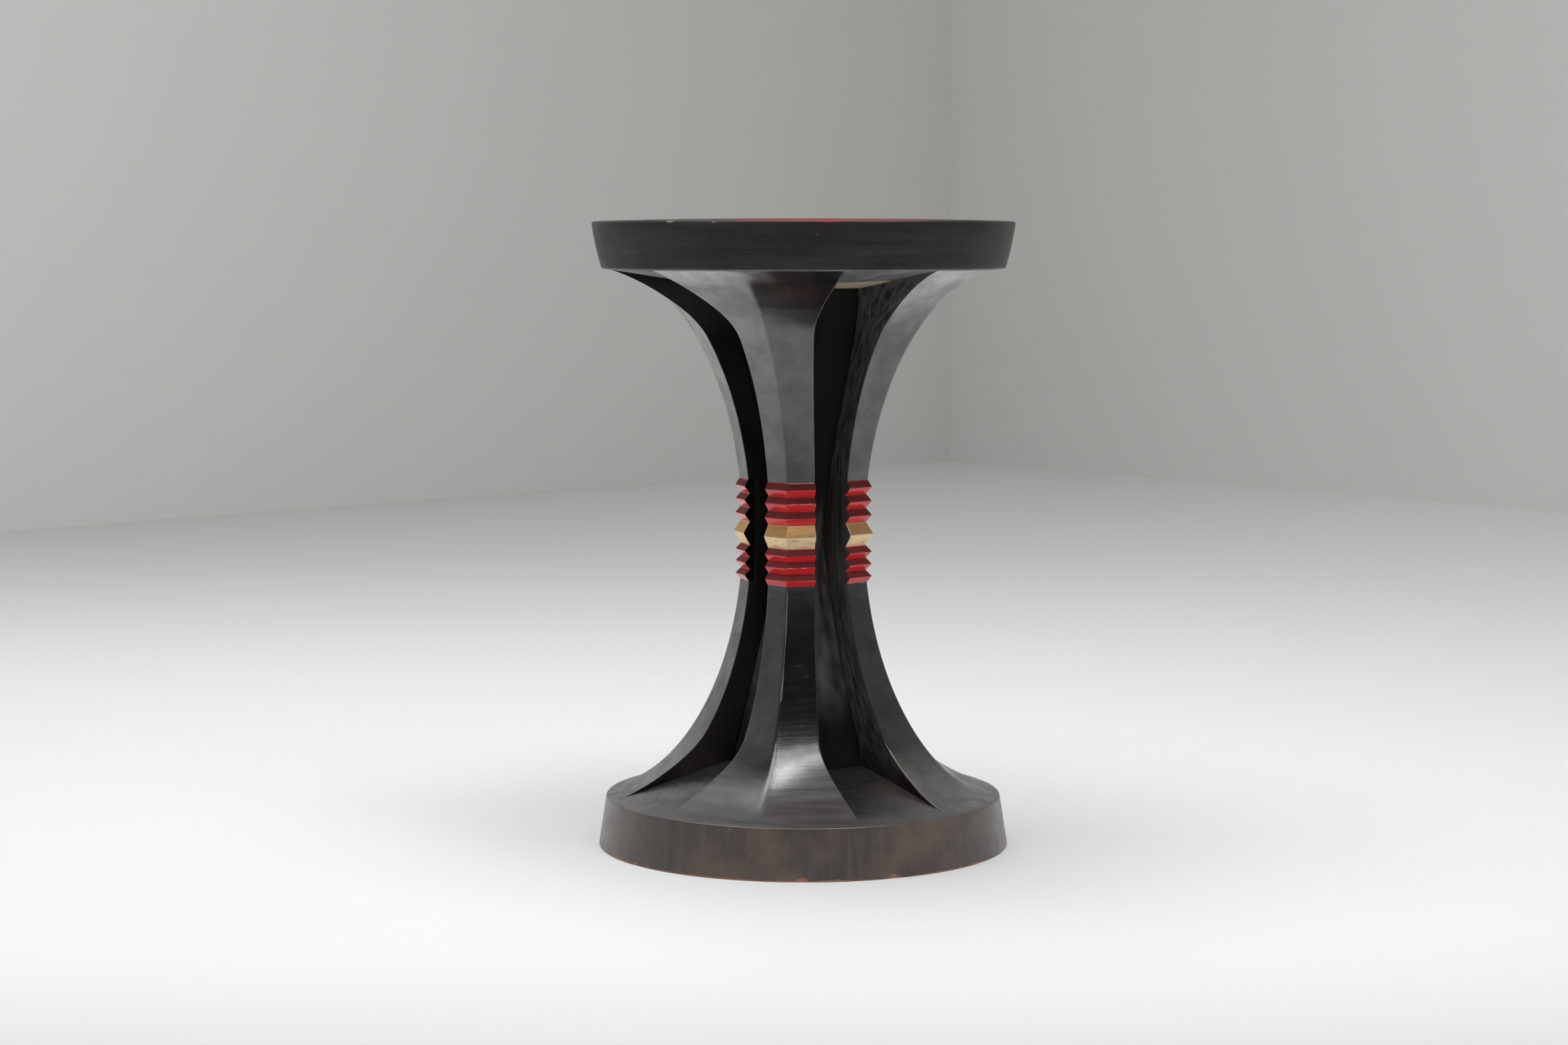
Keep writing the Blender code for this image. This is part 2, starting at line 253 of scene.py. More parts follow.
def wearGroup():
    # bare specks near an arris, where the piece's own wear attribute puts them
    tree, wire, end = shaderGroup("edgeWear", {"Reach": 0.5, "Grain": 300.0}, "Mask")
    spot = objectPlace(tree)
    edge = attribute(tree, "wear")
    speck = grain(tree, wire["Seed"], wire["Grain"], spot, detail=4.0, rough=0.65)
    patch = grain(tree, wire["Seed"] + 9.1, wire["Grain"] * 0.12, spot)
    ragged = speck * 0.9 + patch * 1.3 - 1.1
    worn = (edge + ragged + wire["Reach"]).over(start=1, steep=4)
    plug(tree, worn * (edge > 0.02), end.inputs["Mask"])
    return tree


def patinaGroup():
    # soft clouds between two levels
    tree, wire, end = shaderGroup("patina", {"Scale": 18.0, "Low": 0.42, "High": 0.7}, "Mask")
    cloud = grain(tree, wire["Seed"], wire["Scale"], objectPlace(tree), detail=6.0, rough=0.6)
    plug(tree, cloud.rising(wire["Low"], wire["High"]), end.inputs["Mask"])
    return tree


def fleckGroup():
    # small scattered spots
    tree, wire, end = shaderGroup("flecks", {"Scale": 220.0, "Share": 0.2}, "Mask")
    spot = objectPlace(tree)
    spots = grain(tree, wire["Seed"], wire["Scale"], spot, rough=0.7)
    field = grain(tree, wire["Seed"] + 5.3, wire["Scale"] * 0.13, spot, detail=1.0)
    plug(tree, (spots + field * 0.5 + wire["Share"]).over(start=1.05, steep=14), end.inputs["Mask"])
    return tree


brushStrokes = brushGroup()
turnedStrokes = turnedGroup()
scratches = scratchGroup()
cracks = crackGroup()
edgeWear = wearGroup()
patina = patinaGroup()
flecks = fleckGroup()
print("shared shader groups made")


def group(tree, shared, **values):
    return node(tree, "ShaderNodeGroup", values, node_tree=shared)


def colourMix(tree, share, first, second):
    made = node(tree, "ShaderNodeMix", data_type="RGBA")
    for value, socket in ((share, 0), (first, 6), (second, 7)):
        plug(tree, value if isinstance(value, (Wire, float)) else (*value, 1), made.inputs[socket])
    return output(tree, made, 2)


# how far each mark changes colour, gloss and height, in every finish
marks = {
    "bareRough": 0.22, "bareDepth": 0.5, "scratchTint": 0.8, "scratchRough": 0.15, "scratchDepth": 0.35,
    "crackDepth": 0.5, "crackFilled": 0.6, "dustStrokes": 0.55, "dustRough": 0.25, "cloudLow": 0.34,
    "cloudHigh": 0.66, "cloudGloss": 0.75, "streakGloss": 0.35, "bumpHeight": 0.0006,
}


def lacquer(name, look):
    # a brushed lacquer: streaks, rubbed patches, scratches, grime and painted shade from one attribute, cracks, dust,
    # spilt paint, cloudy gloss, and bare wood in flecks and on worn arrises
    mat = bpy.data.materials.new(name)
    mat.use_nodes = True
    tree = mat.node_tree
    shader = tree.nodes["Principled BSDF"]

    def mask(shared, shift, **values):
        return output(tree, group(tree, shared, Seed=look["seed"] + shift, **values))

    if "around" in look:
        strokes = group(tree, turnedStrokes, Across=look["across"], Around=look["around"],
                        Contrast=look["contrast"], Seed=look["seed"])
    else:
        strokes = group(tree, brushStrokes, Scale=look["strokes"], Contrast=look["contrast"], Seed=look["seed"])
    streak = output(tree, strokes, "Streak")
    rubbed = mask(patina, 1.3, Scale=look["patchScale"], Low=look["patchLow"], High=look["patchHigh"])
    worn = mask(edgeWear, 2.1, Reach=look["wearReach"], Grain=look["wearGrain"])
    fleck = mask(flecks, 4.4, Scale=look["fleckScale"], Share=look["fleckShare"])
    bare = worn.most(fleck)
    colour = colourMix(tree, streak, look["dark"], look["light"])
    thin = between(1 - look.get("patchStrokes", 0.0), 1, streak)
    colour = colourMix(tree, rubbed * thin * look["patchShare"], colour, look["rubbed"])
    rough = between(look["roughLow"], look["roughHigh"], streak)
    rough = rough + rubbed * look["roughRubbed"] + bare * marks["bareRough"]
    height = output(tree, strokes, "Height") - bare * marks["bareDepth"]
    if "scratch" in look:
        line = mask(scratches, 6.2, Scale=look["scratchScale"], Share=look["scratchShare"])
        colour = colourMix(tree, line * marks["scratchTint"], colour, look["scratch"])
        rough = rough + line * marks["scratchRough"]
        height = height - line * marks["scratchDepth"]
    # this attribute holds grime, haze, scuffs and bare wood on some pieces, and painted shade on the teeth's top
    # slopes
    if "grime" in look:
        grime = attribute(tree, "grime")
        brushed = between(1 - look.get("grimeStrokes", 0.0), 1, streak)
        colour = colourMix(tree, grime * brushed * look["grimeShare"], colour, look["grime"])
        rough = rough + grime * look.get("grimeRough", 0.0)
    if "crack" in look:
        split = mask(cracks, 7.9, Scale=look["crackScale"], Width=look["crackWidth"])
        split = split * (1 - marks["crackFilled"] * attribute(tree, "grime"))
        colour = colourMix(tree, split, colour, look["crack"])
        height = height - split * marks["crackDepth"]
    if "dust" in look:
        settled = attribute(tree, "dust") * look["dustShare"] * between(1 - marks["dustStrokes"], 1, streak)
        colour = colourMix(tree, settled, colour, look["dust"])
        rough = rough + settled * marks["dustRough"]
    if "paint" in look:
        spill = (attribute(tree, "paint") * 2.2 + rubbed * 0.7 + streak * 0.3).over(start=1.15, steep=4)
        colour = colourMix(tree, spill, colour, look["paint"])
    colour = colourMix(tree, fleck * look["bareShare"], colour, look.get("fleck", look["bare"]))
    colour = colourMix(tree, worn * look["bareShare"], colour, look["bare"])
    if "cloudScale" in look:
        cloud = mask(patina, 9.3, Scale=look["cloudScale"], Low=marks["cloudLow"], High=marks["cloudHigh"])
        gloss = (cloud * marks["cloudGloss"] + streak * marks["streakGloss"]).share()
        plug(tree, gloss, shader.inputs["Coat Weight"])
        shader.inputs["Coat Roughness"].default_value = look["roughHigh"]
    plug(tree, colour, shader.inputs["Base Color"])
    plug(tree, rough.share(), shader.inputs["Roughness"])
    bump = node(tree, "ShaderNodeBump", {"Strength": look["bump"], "Distance": marks["bumpHeight"], "Height": height})
    plug(tree, output(tree, bump), shader.inputs["Normal"])
    shader.inputs["IOR"].default_value = look["ior"]
    shader.inputs["Metallic"].default_value = look.get("metallic", 0.0)
    mat.diffuse_color = (*look["dark"], 1)
    return mat


# looks: strokes are scales along x, y and z; across and around are those of turned pieces; patches are rubbed places
blackLook = {
    "seed": 1.0, "strokes": (46, 46, 760), "contrast": 1.9, "dark": (0.0040, 0.0038, 0.0035),
    "light": (0.0085, 0.0078, 0.0070), "patchScale": 17.0, "patchLow": 0.46, "patchHigh": 0.72, "patchShare": 0.7,
    "rubbed": (0.030, 0.021, 0.016), "wearReach": -0.20, "wearGrain": 320.0, "fleckScale": 260.0,
    "fleckShare": 0.05, "bareShare": 0.6, "bare": (0.20, 0.17, 0.145), "roughLow": 0.16, "roughHigh": 0.27,
    "roughRubbed": 0.08, "bump": 0.6, "ior": 1.95,
}
ribLook = {**blackLook, "scratch": (0.014, 0.013, 0.012), "scratchScale": (120, 120, 1500), "scratchShare": 0.155,
           "bump": 0.28, "rubbed": (0.017, 0.0125, 0.0100), "dust": (0.105, 0.104, 0.102), "dustShare": 0.8,
           "fleckShare": 0.03, "bare": (0.30, 0.27, 0.24), "cloudScale": 50.0, "ior": 1.84}
wallLook = {**blackLook, "seed": 2.0, "strokes": (190, 190, 30), "dark": (0.0042, 0.0037, 0.0032),
            "light": (0.0125, 0.0100, 0.0082), "patchScale": 20.0, "patchLow": 0.50, "patchHigh": 0.64,
            "patchStrokes": 0.9, "rubbed": (0.030, 0.024, 0.020), "fleckShare": 0.0,
            "grime": (0.135, 0.126, 0.117), "grimeShare": 0.9, "grimeStrokes": 0.5, "roughLow": 0.36,
            "roughHigh": 0.52, "ior": 1.26, "bump": 0.7}
postLook = {**wallLook, "seed": 2.5, "dark": (0.0085, 0.0080, 0.0074), "light": (0.019, 0.0178, 0.0162),
            "patchScale": 15.0, "patchLow": 0.47, "patchHigh": 0.62, "rubbed": (0.014, 0.013, 0.012),
            "grime": (0.145, 0.142, 0.135), "roughLow": 0.55, "roughHigh": 0.72, "ior": 1.15}
# tooth ends: black paint, made darker than the walls as painted shade deep in the flutes
endLook = {**wallLook, "seed": 2.8, "dark": (0.0018, 0.0017, 0.0016), "light": (0.0042, 0.0036, 0.0031),
           "rubbed": (0.007, 0.0055, 0.0045), "roughLow": 0.55, "roughHigh": 0.72, "ior": 1.12}
seatLook = {**blackLook, "seed": 3.0, "across": 520.0, "around": 4.0, "dark": (0.027, 0.0258, 0.0244),
            "light": (0.064, 0.0618, 0.0590), "ior": 1.22, "roughLow": 0.34, "roughHigh": 0.46,
            "bump": 0.25, "wearReach": 0.08, "bare": (0.36, 0.29, 0.18), "paint": (0.35, 0.036, 0.046)}
underLook = {**blackLook, "seed": 3.5, "across": 60.0, "around": 50.0, "contrast": 2.2,
             "dark": (0.065, 0.062, 0.059), "light": (0.22, 0.214, 0.207), "patchScale": 30.0, "patchLow": 0.42,
             "patchHigh": 0.66, "patchShare": 0.7, "rubbed": (0.060, 0.056, 0.052), "grime": (0.44, 0.37, 0.26),
             "grimeShare": 0.85, "roughLow": 0.45, "roughHigh": 0.65, "ior": 1.4}
baseLook = {**blackLook, "seed": 4.0, "across": 45.0, "around": 70.0, "contrast": 1.7,
            "dark": (0.050, 0.0420, 0.0372), "light": (0.118, 0.098, 0.087), "patchScale": 19.0, "patchLow": 0.42,
            "patchHigh": 0.70, "patchShare": 0.9, "rubbed": (0.168, 0.122, 0.101), "wearReach": 0.32,
            "bareShare": 0.8, "bare": (0.46, 0.22, 0.11), "roughLow": 0.26, "roughHigh": 0.42, "ior": 1.55,
            "fleckScale": 620.0, "fleckShare": 0.06, "fleck": (0.34, 0.30, 0.26), "bump": 0.3,
            "grime": (0.30, 0.29, 0.272), "grimeShare": 0.85, "grimeStrokes": 0.85}
baseTopLook = {**ribLook, "seed": 4.6, "across": 620.0, "around": 4.5, "wearReach": 0.26,
               "rubbed": (0.048, 0.034, 0.026), "scratchShare": 0.14}
redLook = {
    "seed": 11.0, "strokes": (70, 70, 620), "contrast": 1.5, "dark": (0.66, 0.022, 0.028),
    "light": (0.83, 0.037, 0.044), "patchScale": 60.0, "patchLow": 0.5, "patchHigh": 0.78, "patchShare": 0.45,
    "rubbed": (0.40, 0.014, 0.018), "wearReach": 0.0, "wearGrain": 520.0, "fleckScale": 420.0,
    "fleckShare": 0.05, "bareShare": 0.8, "bare": (0.80, 0.42, 0.36), "roughLow": 0.12, "roughHigh": 0.22,
    "roughRubbed": 0.10, "bump": 0.25, "ior": 1.6,
}
# the red teeth's grime colour is painted shade, a dark red on the top slopes
toothLook = {**redLook, "grime": (0.15, 0.0055, 0.005), "grimeShare": 0.9, "grimeRough": 0.5}
panelLook = {**redLook, "seed": 12.0, "across": 480.0, "around": 5.0, "patchScale": 14.0,
             "dark": (0.36, 0.011, 0.016), "light": (0.46, 0.018, 0.024), "roughLow": 0.24, "roughHigh": 0.36}
# gold's grime colour is painted shade on the top slopes, where cracks also show less
goldLook = {
    "seed": 21.0, "strokes": (90, 90, 500), "contrast": 2.2, "dark": (0.90, 0.60, 0.30),
    "light": (0.98, 0.80, 0.52), "patchScale": 75.0, "patchLow": 0.52, "patchHigh": 0.74, "patchShare": 0.5,
    "rubbed": (0.66, 0.40, 0.18), "wearReach": 0.25, "wearGrain": 480.0, "fleckScale": 380.0, "fleckShare": 0.08,
    "bareShare": 0.85, "bare": (0.95, 0.86, 0.68), "roughLow": 0.34, "roughHigh": 0.52, "roughRubbed": 0.12,
    "bump": 0.4, "ior": 1.5, "metallic": 0.6, "grime": (0.70, 0.39, 0.13), "grimeShare": 0.85,
    "crack": (0.09, 0.042, 0.016), "crackScale": (75, 75, 430), "crackWidth": 0.035,
}
woodLook = {
    "seed": 31.0, "strokes": (260, 260, 30), "contrast": 1.6, "dark": (0.34, 0.20, 0.10),
    "light": (0.50, 0.33, 0.18), "patchScale": 40.0, "patchLow": 0.5, "patchHigh": 0.8, "patchShare": 0.5,
    "rubbed": (0.28, 0.16, 0.08), "wearReach": 0.2, "wearGrain": 300.0, "fleckScale": 300.0, "fleckShare": 0.0,
    "bareShare": 0.5, "bare": (0.55, 0.38, 0.22), "roughLow": 0.55, "roughHigh": 0.75, "roughRubbed": 0.05,
    "bump": 0.3, "ior": 1.45,
}
blackRibs = lacquer("blackLacquerRibs", ribLook)
blackWalls = lacquer("blackLacquerWalls", wallLook)
blackPost = lacquer("blackLacquerPost", postLook)
blackEndsShaded = lacquer("blackLacquerToothEnds", endLook)
blackSeat = lacquer("blackLacquerSeat", seatLook)
greyUnder = lacquer("greyUnderside", underLook)
blackBase = lacquer("blackLacquerBase", baseLook)
blackBaseTop = lacquer("blackLacquerBaseTop", baseTopLook)
redTeeth = lacquer("redLacquerTeeth", toothLook)
redSeat = lacquer("redLacquerSeat", panelLook)
goldTeeth = lacquer("goldLeafTeeth", goldLook)
bareWood = lacquer("bareWood", woodLook)
print("finishes made")


# geometry trees: a closed tube of rows and columns is shaped by the piece's rule
def runTree(name, tree, values):
    obj = bpy.data.objects.new(name, bpy.data.meshes.new(name))
    scene.collection.objects.link(obj)
    mod = obj.modifiers.new(name, "NODES")
    mod.node_group = tree
    for item in tree.interface.items_tree:
        if item.in_out == "INPUT" and item.name in values:
            mod[item.identifier] = values[item.name]
    graph = bpy.context.evaluated_depsgraph_get()
    mesh = bpy.data.meshes.new_from_object(obj.evaluated_get(graph), preserve_all_data_layers=True,
                                           depsgraph=graph)
    mesh.name = name
    obj.modifiers.remove(mod)
    obj.data = mesh
    return obj


def tube(tree, columns, rows):
    # the tube's skin, and for each of its points the row, its turn, how far round from the front it is, and its side
    skin = node(tree, "GeometryNodeMeshCylinder", {"Vertices": columns, "Side Segments": rows, "Radius": 1.0,
                                                   "Depth": 1.0})
    x, y, z = separate(tree, output(tree, node(tree, "GeometryNodeInputPosition")))
    row = ((z + 0.5) * rows).nearest()
    turn = y.calc("ARCTAN2", x)
    return output(tree, skin), row, turn, turn.size() / math.pi, y.sign()


def place(tree, shape, x, y, z, turn):
    # moves the points of a shape, turned about the stool's axis
    spot = combine(tree, x * turn.cos() - y * turn.sin(), x * turn.sin() + y * turn.cos(), z)
    return output(tree, node(tree, "GeometryNodeSetPosition", {"Geometry": shape, "Position": spot}))


def keep(tree, shape, name, value, domain="POINT"):
    made = node(tree, "GeometryNodeStoreNamedAttribute", {"Geometry": shape, "Name": name, "Value": value},
                data_type="FLOAT", domain=domain)
    return output(tree, made)


def uneven(tree, shape, seed, scale, depth):
    # the slight waviness of a hand-cut face
    push = node(tree, "ShaderNodeVectorMath", {0: output(tree, node(tree, "GeometryNodeInputNormal")),
                                               "Scale": (grain(tree, seed, scale) - 0.5) * 2 * depth},
                operation="SCALE")
    return output(tree, node(tree, "GeometryNodeSetPosition", {"Geometry": shape, "Offset": output(tree, push)}))


def dress(tree, shape, end, finish, otherFinish=None, where=None):
    # one finish all over, and another on the faces that a kept attribute marks
    smooth = output(tree, node(tree, "GeometryNodeSetShadeSmooth", {"Geometry": shape}))
    shape = output(tree, node(tree, "GeometryNodeRealizeInstances", {"Geometry": smooth}))
    shape = output(tree, node(tree, "GeometryNodeSetMaterial", {"Geometry": shape, "Material": finish}))
    if where:
        marked = output(tree, node(tree, "GeometryNodeInputNamedAttribute", {"Name": where}, data_type="FLOAT"))
        shape = output(tree, node(tree, "GeometryNodeSetMaterial", {"Geometry": shape, "Material": otherFinish,
                                                                    "Selection": marked}))
    plug(tree, shape, end.inputs["Geometry"])


# what ribs, post and teeth share: the flare from the waist out to seat and base
flare = {
    "waistHeight": 0.25025, "flareHalf": 0.21245, "flareLimit": 0.9995,
    "waistRadius": 0.050, "seatReach": 0.1755, "baseReach": 0.1755,
    "waistAngle": math.radians(26), "neckAngle": math.radians(23), "toeAngle": math.radians(30),
    "toeStart": 0.74, "toeEnd": 0.985, "arcStart": 0.93, "arcEnd": 0.992, "edgeShare": 0.85,
    "headDrift": math.radians(-5), "bandBottom": 0.2115, "bandTop": 0.2932, "seatFace": 0.4605,
    "postWaist": 0.021, "postEnd": 0.068, "postTaper": 1.3,
}


def flareRule(wire, z):
    # at a height: the ridge's radius, the rib's half angle, its toe, the post's radius and the drift of the head
    rise = (z - wire["waistHeight"]).size()
    share = (rise / wire["flareHalf"]).least(wire["flareLimit"])
    square = share * share
    toe = share.rising(wire["toeStart"], wire["toeEnd"])
    arc = share.rising(wire["arcStart"], wire["arcEnd"])
    angle = (wire["neckAngle"] + (wire["waistAngle"] - wire["neckAngle"]) * (1 - square) ** 4
             + (wire["toeAngle"] - wire["neckAngle"]) * toe)
    reach = between(wire["baseReach"], wire["seatReach"], z > wire["waistHeight"])
    ridge = wire["waistRadius"] + (reach - wire["waistRadius"]) * (1 - (1 - square).root())
    post = wire["postWaist"] + (wire["postEnd"] - wire["postWaist"]) * share ** wire["postTaper"]
    climb = (z - wire["bandTop"]) / (wire["seatFace"] - wire["bandTop"])
    return ridge, angle, (between(wire["edgeShare"], 1, toe), arc), post, wire["headDrift"] * climb.most(0.0)


def flareHeight(wire, row, flareRows, bandRows, low, high):
    # heights of the rows: closer where the flare turns out, two rows at each end of the tooth band
    def arc(z):
        return ((z - wire["waistHeight"]).size() / wire["flareHalf"]).calc("ARCSINE")

    lower = between(arc(low), arc(wire["bandBottom"]), (row / flareRows).share())
    upper = between(arc(wire["bandTop"]), arc(high), ((row - flareRows - bandRows - 2) / flareRows).share())
    band = (wire["bandTop"] - wire["bandBottom"]) * ((row - flareRows - 1) / bandRows).share()
    z = (wire["waistHeight"] - wire["flareHalf"] * lower.sin() + band
         + wire["flareHalf"] * upper.sin() - (wire["bandTop"] - wire["waistHeight"]))
    return z, (row > flareRows + 0.5) * (row < flareRows + bandRows + 1.5)


def facetPoint(ridge, angle, toe, share, soft):
    # a point on one facet, from the ridge to the edge; the toes spread and then round off into an arc
    spread, arc = toe
    bend = ((share * share + soft * soft).root() - soft) / ((1 + soft * soft) ** 0.5 - soft)
    x = ridge + (spread * ridge * angle.cos() - ridge) * bend
    y = spread * ridge * angle.sin() * share
    return between(x, ridge * (angle * share).cos(), arc), between(y, ridge * (angle * share).sin(), arc)


def facetEdge(ridge, angle, toe, soft):
    # the facet's far edge, and the facet's width
    x, y = facetPoint(ridge, angle, toe, ridge * 0 + 1, soft)
    return x, y, ((x - ridge) * (x - ridge) + y * y).root()


def columnCounts(sizes):
    return [sizes[key] for key in ("frontColumns", "edgeColumns", "wallColumns", "backColumns")]


def frontShare(around, counts):
    return (around * (sum(counts) / counts[0])).share()  # 0 on the ridge, 1 at the facet's edge


def behindEdge(around, counts):
    return around > (counts[0] + 0.5 * counts[1]) / sum(counts)


def section(front, edge, back, soft, counts, around):
    # x and y round half a section: front to edge, rounded edge, wall to the back corner, back
    ends = [sum(counts[:i + 1]) / sum(counts) for i in range(4)]
    corner, wall, rear = (((around - a) / (b - a)).share() for a, b in zip(ends, ends[1:]))
    wallX, wallY = back[0] - edge[0], back[1] - edge[1]
    length = (wallX * wallX + wallY * wallY).root()
    inX, inY = edge[0] + wallX * soft / length, edge[1] + wallY * soft / length
    stay, pull, give = (1 - corner) * (1 - corner), 2 * corner * (1 - corner), corner * corner
    x = front[0] * stay + edge[0] * pull + inX * give + (back[0] - inX) * wall
    y = front[1] * stay + edge[1] * pull + inY * give + (back[1] - inY) * wall - back[1] * rear
    return x, y, wall, length


def hazeBand(wire, z, fade):
    # 1 between the two heights of the haze, fading out at both
    return ((z - wire["hazeLow"]) / fade).eased() * ((wire["hazeHigh"] - z) / fade).eased()


ribs = {
    "flareRows": 72, "bandRows": 6, "frontColumns": 22, "edgeColumns": 5, "wallColumns": 18, "backColumns": 3,
    "housingFace": 0.0356,      # where the rib steps back behind the teeth
    "lowEnd": 0.0403, "highEnd": 0.4602, "backSink": 0.0004,
    "ridgeSoft": 0.022, "edgeSoft": 0.0009, "chipDepth": 0.9, "waviness": 0.00022, "wavesPerMetre": 26.0,
    "chipScale": 60.0, "chipStart": 0.60, "edgeWear": 0.0013, "ridgeWear": 0.0007, "scuffWear": 0.0013,
    "creaseWear": 0.0007, "hazeFade": 0.05, "hazeScale": 30.0, "hazeStart": 0.34,
    "dustFrom": 0.62, "dustTo": 0.94,   # how far upwards a face has to look to hold dust
    "scribeSink": 0.00025,      # how far the ends are let into seat and base
    "scribeReach": 0.03, "scribeSides": 192, "sharpFrom": 38.0,
    "turns": {"right": 0.0, "back": 90.0, "left": 180.0, "front": 270.0},
    "scuffs": {"front": {"ridgeScuffLow": 0.125, "ridgeScuffHigh": 0.2105},
               "right": {"edgeScuffLow": 0.044, "edgeScuffHigh": 0.082, "edgeScuffSide": -1.0, "hazeLow": 0.055,
                         "hazeHigh": 0.50},
               "left": {"ridgeScuffLow": 0.170, "ridgeScuffHigh": 0.195}},
}
# chips are (angle in degrees, radius, height, width, depth), scuffs are (angle, width) in degrees
discs = {
    "seatRadius": 0.168, "seatUnder": 0.160, "seatBottom": 0.4605, "seatArris": 0.4975, "seatCrown": 0.0025,
    "seatBoss": 0.4455, "seatBossRadius": 0.0652, "seatSoft": 0.0026, "seatLowerSoft": 0.0020,
    "seatBulge": 0.0008, "panelRadius": 0.108, "panelDepth": 0.006, "panelSoft": 0.0004, "panelGap": 0.0003,
    "crownSteps": 12, "rimSteps": 10, "bareUnder": 0.102,
    "seatChips": [(247, 0.1672, 0.4972, 0.006, 0.0004), (260, 0.1675, 0.4965, 0.0028, 0.0004)],
    "seatSpill": {"angle": 292.5, "width": 31.0, "radius": 0.166, "height": 0.4977, "reach": 0.0016},
    "baseRadius": 0.164, "baseTop": 0.158, "baseRim": 0.040, "baseBoss": 0.068, "baseBossRadius": 0.0615,
    "baseSoft": 0.0016, "baseLowerSoft": 0.0012,
    "baseChips": [(308.8, 0.1636, 0.0016, 0.008, 0.0014), (283.4, 0.1635, 0.002, 0.007, 0.0012),
                  (231, 0.1634, 0.001, 0.003, 0.0006), (150, 0.1635, 0.002, 0.009, 0.0015),
                  (61, 0.1635, 0.003, 0.007, 0.0013), (15, 0.1635, 0.002, 0.008, 0.0011)],
    "baseScuffs": [(204, 12), (3, 11), (105, 16)],
    "steps": 640,
}


def ribTree():
    own = ("housingFace", "lowEnd", "highEnd", "backSink", "ridgeSoft", "edgeSoft", "chipDepth", "waviness",
           "wavesPerMetre")
    sizes = {**flare, **{key: ribs[key] for key in own}, "turn": 0.0, "seed": 0.0, "ridgeScuffLow": 0.0,
             "ridgeScuffHigh": 0.0, "edgeScuffLow": 0.0, "edgeScuffHigh": 0.0, "edgeScuffSide": 1.0,
             "hazeLow": 0.0, "hazeHigh": 0.0}
    counts = columnCounts(ribs)
    tree, wire, end = shapeTree("ribRule", sizes, "finish", "wallFinish")
    skin, row, _, around, side = tube(tree, 2 * sum(counts), 2 * ribs["flareRows"] + ribs["bandRows"] + 2)
    z, housed = flareHeight(wire, row, ribs["flareRows"], ribs["bandRows"], wire["lowEnd"], wire["highEnd"])
    ridge, angle, toe, post, drift = flareRule(wire, z)
    # edge rounding, deeper where it is chipped, and not alike on the two sides
    chips = grain(tree, wire["seed"], ribs["chipScale"], combine(tree, z, side * 0.31), detail=3.0)
    soft = wire["edgeSoft"] * (1 + wire["chipDepth"] * chips.over(ribs["chipStart"], steep=8))
    edgeX, edgeY, facet = facetEdge(ridge, angle, toe, wire["ridgeSoft"])
    front = frontShare(around, counts)
    frontX, frontY = facetPoint(ridge, angle, toe, front * (1 - soft / facet), wire["ridgeSoft"])
    slant = angle.sin() / angle.cos()
    houseY = wire["housingFace"] * slant
    frontPoint = between(frontX, wire["housingFace"], housed), between(frontY, houseY * front, housed)
    edgePoint = between(edgeX, wire["housingFace"], housed), between(edgeY, houseY, housed)
    backX = post * angle.cos() - wire["backSink"]
    x, y, wall, length = section(frontPoint, edgePoint, (backX, backX * slant), soft, counts, around)
    # wear on edges, ridge and hazed crease
    onRidge = (z > wire["ridgeScuffLow"]) * (z < wire["ridgeScuffHigh"])
    onEdge = (z > wire["edgeScuffLow"]) * (z < wire["edgeScuffHigh"]) * (side * wire["edgeScuffSide"] > 0)
    edgeWorn = ((1 - front) * facet + wall * length).fade(ribs["edgeWear"]) * (1 + 0.6 * onEdge)
    ridgeWorn = (front * facet / (ribs["ridgeWear"] + ribs["scuffWear"] * onRidge)).fade(1.0)
    ridgeWorn = ridgeWorn * (1 - toe[1]) * (0.85 + 0.75 * onRidge)
    hazed = hazeBand(wire, z, ribs["hazeFade"]) * (side < 0)
    creaseWorn = ((1 - wall) * length).fade(ribs["creaseWear"]) * (wall > 0.4) * (hazed > 0) * 1.5
    shape = keep(tree, skin, "wear", edgeWorn.most(ridgeWorn).most(creaseWorn) * (1 - housed))
    cloud = grain(tree, wire["seed"] + 3.3, ribs["hazeScale"], detail=3.0).over(ribs["hazeStart"], steep=4)
    shape = keep(tree, shape, "grime", hazed * cloud)
    shape = keep(tree, shape, "walls", behindEdge(around, counts), "FACE")
    shape = place(tree, shape, x, y * side, z, drift + wire["turn"])
    shape = uneven(tree, shape, wire["seed"] + 7.7, wire["wavesPerMetre"], wire["waviness"])
    upward = separate(tree, output(tree, node(tree, "GeometryNodeInputNormal")))[2]
    shape = keep(tree, shape, "dust", upward.rising(ribs["dustFrom"], ribs["dustTo"]))
    shape = scribed(tree, shape, -1, *(discs[key] for key in ("baseTop", "baseRim", "baseBossRadius", "baseBoss")))
    shape = scribed(tree, shape, 1, *(discs[key] for key in ("seatUnder", "seatBottom", "seatBossRadius", "seatBoss")))
    dress(tree, shape, end, wire["finish"], wire["wallFinish"], "walls")
    return tree


